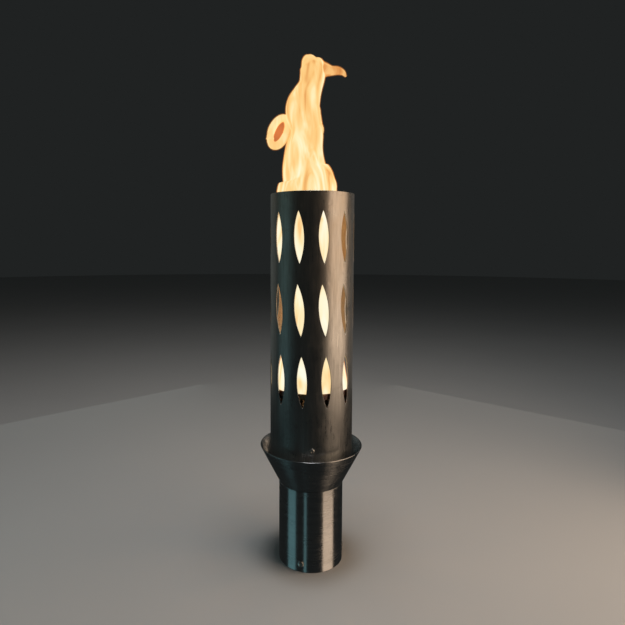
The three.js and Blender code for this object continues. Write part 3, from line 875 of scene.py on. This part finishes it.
def build_inlet():
    _, low, high = reach("gas_inlet_fitting")
    hex_low = high - FITTING_HEX_HEIGHT
    neck = reach("inlet_nipple")[1] - GAP
    soft = 0.0004

    def section(azimuth):
        rows = [(INLET_BORE, low + soft), (INLET_BORE + soft, low), (INLET_TIP, low),
                (FLARE_RADIUS - soft, low + 0.0038)]
        rows += threaded(azimuth, FLARE_RADIUS, FLARE_PITCH, FLARE_THREAD_DEPTH, low + 0.004, hex_low - 0.0026)
        rows += [(INLET_THROAT, hex_low - 0.0022), (INLET_THROAT, hex_low)]
        rows += hex_sides(azimuth, FITTING_FLATS, hex_low, high)
        return rows + [(PIPE_HOLE + soft, high), (PIPE_HOLE, high - soft), (PIPE_HOLE, neck), (INLET_BORE, neck)]

    finished(revolved("flare_fitting", section, PIPE_SIDES, sharp=30), "brass", "gas_inlet_fitting")


def build_mixer():
    radius, low, high = reach("air_mixer")
    neck_low = reach("inlet_nipple")[2] + GAP
    neck_high = reach("riser_pipe")[1] - GAP
    hole_height = (neck_low + neck_high) / 2
    body = turned("mixer_body", [
        (PIPE_HOLE, low, 0.0006), (radius, low, 0.0012), (radius, high, 0.0012), (PIPE_HOLE, high, 0.0006),
        (PIPE_HOLE, neck_high, 0.0004), (MIXER_THROAT, neck_high, 0.0008), (MIXER_THROAT, neck_low, 0.0008),
        (PIPE_HOLE, neck_low, 0.0004),
    ], PIPE_SIDES)
    side_holes(body, AIR_HOLES["azimuth"], AIR_HOLES["count"], AIR_HOLES["radius"], hole_height,
               MIXER_THROAT, radius)
    finished(body, "pipe_iron", "air_mixer")

    low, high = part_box("air_shutter")
    bore = radius + SHUTTER_GAP
    outer = bore + SHUTTER_WALL
    sleeve = turned("shutter_sleeve", [
        (bore, low.z, 0.0002), (outer, low.z, 0.0003), (outer, high.z, 0.0003), (bore, high.z, 0.0002),
    ], PIPE_SIDES)
    half, thick, round_end = SHUTTER_TAB["half"], SHUTTER_TAB["thick"], SHUTTER_TAB["round"]
    outline = [(-half, -outer + SHUTTER_TAB["sunk"]), (-half, low.y + round_end)]
    for step in range(1, 6):
        angle = math.pi / 2 * step / 6
        outline.append((-half + round_end * (1 - math.cos(angle)), low.y + round_end * (1 - math.sin(angle))))
    outline += [(-x, y) for x, y in reversed(outline)]
    count = len(outline)
    points = [(x, y, low.z) for x, y in outline] + [(x, y, low.z + thick) for x, y in outline]
    faces = [list(range(count))[::-1], list(range(count, 2 * count))]
    faces += [[i, (i + 1) % count, (i + 1) % count + count, i + count] for i in range(count)]
    tab = new_piece("tab", points, faces)
    combined(sleeve, [tab], "UNION")
    side_holes(sleeve, AIR_HOLES["azimuth"], AIR_HOLES["count"], AIR_HOLES["radius"], hole_height, bore, outer)
    finished(sleeve, "zinc_plate", "air_shutter", body="air_shutter")

    seat, low, high = reach("gas_orifice")
    bore, tip, shoulder = ORIFICE["bore"], ORIFICE["tip"], low + ORIFICE["base"]
    spud = turned("orifice_spud", [
        (bore, low, 0.0002), (seat, low, 0.0004), (seat, shoulder, 0.0002),
        (tip, shoulder + ORIFICE["shoulder"], 0.0003), (tip, high - ORIFICE["taper"], 0.0005),
        (tip / 2, high, 0.0003), (bore, high, 0.0002),
    ], SCREW_SIDES)
    finished(spud, "brass", "gas_orifice")


def build_pipework():
    locknut("lower_locknut", "cup_locknut_lower")
    locknut("upper_locknut", "cup_locknut_upper")
    locknut("burner_locknut", "pan_locknut")
    plain = 0.001  # without thread at a pipe's end
    _, low, high = reach("inlet_nipple")
    pipe("close_nipple", "inlet_nipple", [(low + plain, high - plain)])
    _, low, high = reach("riser_pipe")
    below_pan = reach("pan_locknut")[1] - 0.006
    pipe("burner_riser", "riser_pipe", [(low + plain, low + 0.014), (below_pan, high - plain)])
    build_inlet()
    build_mixer()


# ---------------------------------------------------------------- burner
def build_burner():
    radius, low, high = reach("burner_pan")
    bore = radius - PAN_WALL
    floor = low + PAN_WALL
    pan = turned("burner_tray", [
        (PIPE_HOLE, low, 0.0002), (radius, low, 0.0016), (radius, high, 0.0005),
        (bore, high, 0.0005), (bore, floor, 0.0012), (PIPE_HOLE, floor, 0.0002),
    ])
    finished(pan, "burner_steel", "burner_pan")

    radius, low, high = reach("burner_body")
    hub, drum_low = BURNER_HUB["radius"], low + BURNER_HUB["height"]
    bore = radius - BURNER_WALL
    floor = drum_low + BURNER_WALL
    drum = turned("burner_drum", [
        (PIPE_HOLE, low, 0.0003), (hub, low, 0.0006), (hub, drum_low, 0.0008), (radius, drum_low, 0.001),
        (radius, high, 0.0003), (bore, high, 0.0003), (bore, floor, 0.0008), (PIPE_HOLE, floor, 0.0003),
    ], WIDE_SIDES)
    skirt = reach("burner_cap")[1]
    side_holes(drum, 0, DRUM_PORTS, BURNER_PORT, (floor + skirt) / 2, bore, radius, 16)
    finished(drum, "burner_steel", "burner_body")

    radius, low, high = reach("burner_cap")
    plate = high - CAP_PLATE
    skirt = bore - GAP
    eye = 0.0001  # the section stops just short of the axis
    points, normals = filleted([
        (skirt - BURNER_WALL, low, 0.0003), (skirt, low, 0.0003), (skirt, plate, 0.0002),
        (radius, plate, 0.0004), (radius, high, 0.0006), (eye, high, 0.00001),
        (eye, plate, 0.00001), (skirt - BURNER_WALL, plate, 0.0003),
    ])
    cap = revolved("burner_lid", lambda azimuth: points, WIDE_SIDES, normals)
    for circle, count in CAP_PORTS:
        plate_holes(cap, count, BURNER_PORT, circle, plate, high, 16)
    finished(cap, "burner_steel", "burner_cap")


build_shroud()
build_casing()
build_fasteners()
build_pipework()
build_burner()


# ---------------------------------------------------------------- flame, which is staged
def glowing(name, stops, scale, stretch):
    """A burning surface: the colour of the glow streaked by noise, from its darkest stop to its brightest."""
    make = Finish(name, 0.0)
    streaks = make.noise(scale, stretch, 2.5, 0.5, 0.9)
    return make.burns("Surface", {"Color": make.ramp(streaks, stops)})


def haze(name, colour, strength):
    """A glowing gas, brighter where it is thick."""
    return Finish(name, 0.0).burns("Volume", {"Color": colour, "Strength": strength})


def above(base, stations):
    """Stations of x, y, z and radius, with z measured from a base height."""
    return [(x, y, base + z, radius) for x, y, z, radius in stations]


def smooth_path(stations, steps):
    """Points between the stations on a smooth curve through them."""
    path = []
    for index in range(len(stations) - 1):
        around = [stations[max(0, min(len(stations) - 1, index + offset))] for offset in (-1, 0, 1, 2)]
        for step in range(steps):
            t = step / steps
            path.append([
                0.5 * (2 * b + (c - a) * t + (2 * a - 5 * b + 4 * c - d) * t * t
                       + (3 * b - a - 3 * c + d) * t ** 3)
                for a, b, c, d in zip(*around)
            ])
    path.append(list(stations[-1]))
    return path


def tongue(name, stations, material, lobes=3, ragged=0.10, phase=0.0, swell=0.0):
    """A tongue of flame along stations of x, y, z and radius, with a lobed, twisting section."""
    path = smooth_path(stations, FLAME_STEPS)
    sides = FLAME_SIDES
    points, faces = [], []
    for number, (x, y, z, radius) in enumerate(path):
        before, after = path[max(0, number - 1)], path[min(len(path) - 1, number + 1)]
        along = Vector(after[:3]) - Vector(before[:3])
        turn = Vector((0, 0, 1)).rotation_difference(along).to_matrix()
        for side in range(sides):
            angle = 2 * math.pi * side / sides
            wave = math.sin(lobes * angle + phase + 38 * z)
            wave += 0.5 * math.sin((lobes + 2) * angle - 61 * z + 2 * phase)
            out = radius * (1 + ragged * wave) + swell
            offset = turn @ Vector((out * math.cos(angle), out * math.sin(angle), 0))
            points.append(Vector((x, y, z)) + offset)
    rows = len(path)
    for row in range(rows - 1):
        for side in range(sides):
            after = (side + 1) % sides
            faces.append([row * sides + side, row * sides + after, (row + 1) * sides + after,
                          (row + 1) * sides + side])
    faces.append(list(range(sides))[::-1])
    faces.append([(rows - 1) * sides + side for side in range(sides)])
    flame = new_piece(name, points, faces)
    flame.data.materials.append(material)
    flame.visible_shadow = False
    return flame


def build_flame():
    floor = reach("burner_pan")[1] + PAN_WALL + 0.0005
    rim = reach("shroud")[2]
    cream = glowing("flame_heart", [
        (0.30, rgb(0.95, 0.56, 0.22)), (0.40, rgb(1.0, 0.78, 0.42)), (0.50, rgb(1.0, 0.90, 0.62)),
        (0.66, rgb(1.0, 0.97, 0.80)),
    ], 60, (1, 1, 0.25))
    body = glowing("flame_body", [
        (0.30, rgb(0.70, 0.29, 0.08)), (0.40, rgb(0.93, 0.56, 0.20)), (0.50, rgb(0.97, 0.68, 0.29)),
        (0.62, rgb(1.0, 0.86, 0.50)), (0.72, rgb(1.0, 0.95, 0.70)),
    ], 62, (1, 1, 0.24))
    tail = glowing("flame_tail", [
        (0.35, rgb(0.52, 0.20, 0.05)), (0.50, rgb(0.72, 0.31, 0.09)), (0.65, rgb(0.90, 0.52, 0.19)),
    ], 80, (0.5, 1, 0.5))
    edge = haze("flame_edge", rgb(1.0, 0.36, 0.08), 42)
    film = haze("flame_film", rgb(1.0, 0.26, 0.06), 42)

    def pair(name, stations, material, **shape):
        tongue(name, stations, material, **shape)
        tongue(name + "_edge", stations, edge, swell=0.0012, **shape)

    pair("flame_heart", above(floor, [
        (0, 0, 0, 0.0435), (0, 0, 0.012, 0.0435), (0.001, 0, 0.035, 0.039), (0.003, 0, 0.07, 0.033),
    ]) + above(rim, [
        (0.001, 0, -0.13, 0.031), (-0.006, 0, -0.085, 0.036), (-0.009, 0, -0.05, 0.038),
        (-0.008, 0, -0.02, 0.036), (-0.006, 0, -0.004, 0.033),
    ]), cream, lobes=3, ragged=0.03)
    pair("flame_body", above(rim, [
        (-0.006, 0, -0.03, 0.034), (-0.006, 0, 0, 0.035), (-0.0055, 0, 0.017, 0.0325),
        (-0.0095, 0, 0.029, 0.027), (-0.011, 0, 0.040, 0.0245), (-0.0115, 0, 0.057, 0.021),
        (-0.0095, 0, 0.068, 0.019), (-0.0085, 0, 0.080, 0.0195), (-0.012, 0, 0.096, 0.0205),
        (-0.0115, 0, 0.107, 0.0195), (-0.0075, 0, 0.118, 0.0165), (-0.003, 0, 0.129, 0.014),
        (-0.0005, 0, 0.140, 0.0145), (0, 0, 0.151, 0.0145), (-0.002, 0, 0.159, 0.011),
        (-0.001, 0, 0.163, 0.0065), (0, 0, 0.165, 0.0015),
    ]), body, lobes=3, ragged=0.045)
    pair("flame_curl", above(rim, [
        (-0.002, 0, 0.146, 0.012), (0.006, 0, 0.1485, 0.0115), (0.014, 0, 0.1485, 0.0085),
        (0.022, 0, 0.1475, 0.0055), (0.030, 0, 0.1475, 0.0045), (0.036, 0, 0.145, 0.003),
        (0.0395, 0, 0.1405, 0.0008),
    ]), tail, lobes=2, ragged=0.05)
    ring, lean = [], math.radians(-22)
    for step in range(13):
        angle = 2 * math.pi * step / 12
        across, along = 0.0092 * math.cos(angle), 0.0180 * math.sin(angle)
        ring.append((-0.0405 + across * math.cos(lean) - along * math.sin(lean), 0.003 * math.sin(angle),
                     rim + 0.0750 + across * math.sin(lean) + along * math.cos(lean), 0.0042))
    pair("flame_loop", ring, body, lobes=2, ragged=0.08)
    tongue("flame_film", above(rim, [
        (-0.050, 0, 0.055, 0.001), (-0.046, 0, 0.063, 0.006), (-0.041, 0, 0.075, 0.009),
        (-0.036, 0, 0.087, 0.006), (-0.031, 0, 0.096, 0.001),
    ]), film, lobes=2, ragged=0.05)
    pair("flame_fold", above(rim, [
        (0.017, -0.006, -0.02, 0.011), (0.018, -0.006, 0.004, 0.0115), (0.019, -0.006, 0.014, 0.009),
        (0.010, -0.006, 0.028, 0.007), (0.004, -0.008, 0.050, 0.007), (0.003, -0.008, 0.070, 0.008),
        (0.006, -0.006, 0.079, 0.006), (0.004, -0.006, 0.092, 0.001),
    ]), body, lobes=2, ragged=0.10, phase=1.0)


build_flame()


# ---------------------------------------------------------------- stage
def floor_material():
    make = Finish("pale_floor", 0.0)
    mottle = make.noise(3, (1, 1, 1), 3)
    colour = make.mixed(mottle, rgb(0.60, 0.60, 0.59), rgb(0.64, 0.64, 0.63))
    return make.done(colour, make.spread(mottle, 0.3, 0.7, 0.75, 0.85))


def lamp(name, kind, place, power, colour=(1, 1, 1), **settings):
    """A light that the camera doesn't see."""
    light = bpy.data.lights.new(name, kind)
    light.energy = power
    light.color = colour
    for key, value in settings.items():
        setattr(light, key, value)
    holder = new_object(name, light)
    holder.location = place
    holder.visible_camera = False
    return holder


def card(name, azimuth, distance, low, high, width, colour, glow):
    """A soft light panel that faces the axis. glow is the brightness of its face."""
    height = high - low
    panel = lamp(name, "AREA", spot(azimuth, distance, (low + high) / 2), glow * math.pi * width * height,
                 colour, shape="RECTANGLE", size=width, size_y=height)
    panel.rotation_euler = (math.pi / 2, 0, math.radians(azimuth))


def ember(name, across, height, power, radius):
    """A small light of the fire, which the steel doesn't mirror."""
    glow = lamp(name, "POINT", (across, 0, height), power, (1.0, 0.52, 0.20), shadow_soft_size=radius)
    glow.visible_glossy = False


def build_stage():
    sides, far = 96, 7.0
    points = [spot(azimuth, far, 0) for azimuth in azimuths(0, sides)]
    floor = new_piece("floor", points, [list(range(sides))])
    floor.data.materials.append(floor_material())
    floor.visible_glossy = False
    floor.visible_shadow = False

    world = bpy.data.worlds.new("dusk")
    world.use_nodes = True
    world.node_tree.nodes["Background"].inputs["Color"].default_value = rgb(0.9, 1.0, 1.0)
    world.node_tree.nodes["Background"].inputs["Strength"].default_value = 0.016
    bpy.context.scene.world = world

    # The panels below floor height are for the socket, which mirrors downwards from the camera's height.
    card("warm_card", 71, 0.55, 0.07, 0.80, 0.60, (1.0, 0.74, 0.53), 1.4)
    card("warm_card_low", 62, 0.55, -0.75, -0.12, 0.42, (1.0, 0.74, 0.53), 0.9)
    card("cool_card", -80, 0.60, 0.05, 0.70, 0.40, (0.50, 0.94, 1.0), 0.12)
    card("cool_card_low", -72, 0.60, -0.80, -0.12, 0.34, (0.42, 0.92, 1.0), 0.22)
    card("cool_strip_low", -21, 0.60, -0.80, -0.12, 0.09, (0.45, 0.93, 1.0), 0.20)
    card("back_right", 138, 0.80, 0.00, 0.90, 0.70, (1.0, 0.95, 0.86), 0.09)
    card("back_left", -138, 0.80, 0.00, 0.90, 0.70, (0.88, 1.0, 0.96), 0.09)

    lamp("overhead", "AREA", (0, -0.1, 1.6), 7.0, size=0.5)

    base = reach("burner_cap")[2]
    rim = reach("shroud")[2]
    for number in range(4):
        ember(f"fire_{number}", -0.004, base + 0.03 + (rim - base - 0.03) * number / 3, 0.24, 0.02)
    for number, across in enumerate((-0.033, 0.033)):
        ember(f"ember_{number}", across, base - 0.045, 0.05, 0.004)

    camera = new_object("camera", bpy.data.cameras.new("camera"))
    camera.data.sensor_width = 36
    camera.data.lens = 30.4
    camera.data.shift_x = 0.0395
    camera.data.shift_y = -0.0506
    camera.data.clip_start = 0.05
    camera.data.clip_end = 50
    camera.location = (-0.0297, -0.6479, 0.3898)
    camera.rotation_euler = (math.radians(90 - 3.67), math.radians(-0.15), 0)
    bpy.context.scene.camera = camera
    bpy.context.scene.view_settings.view_transform = "Standard"


build_stage()
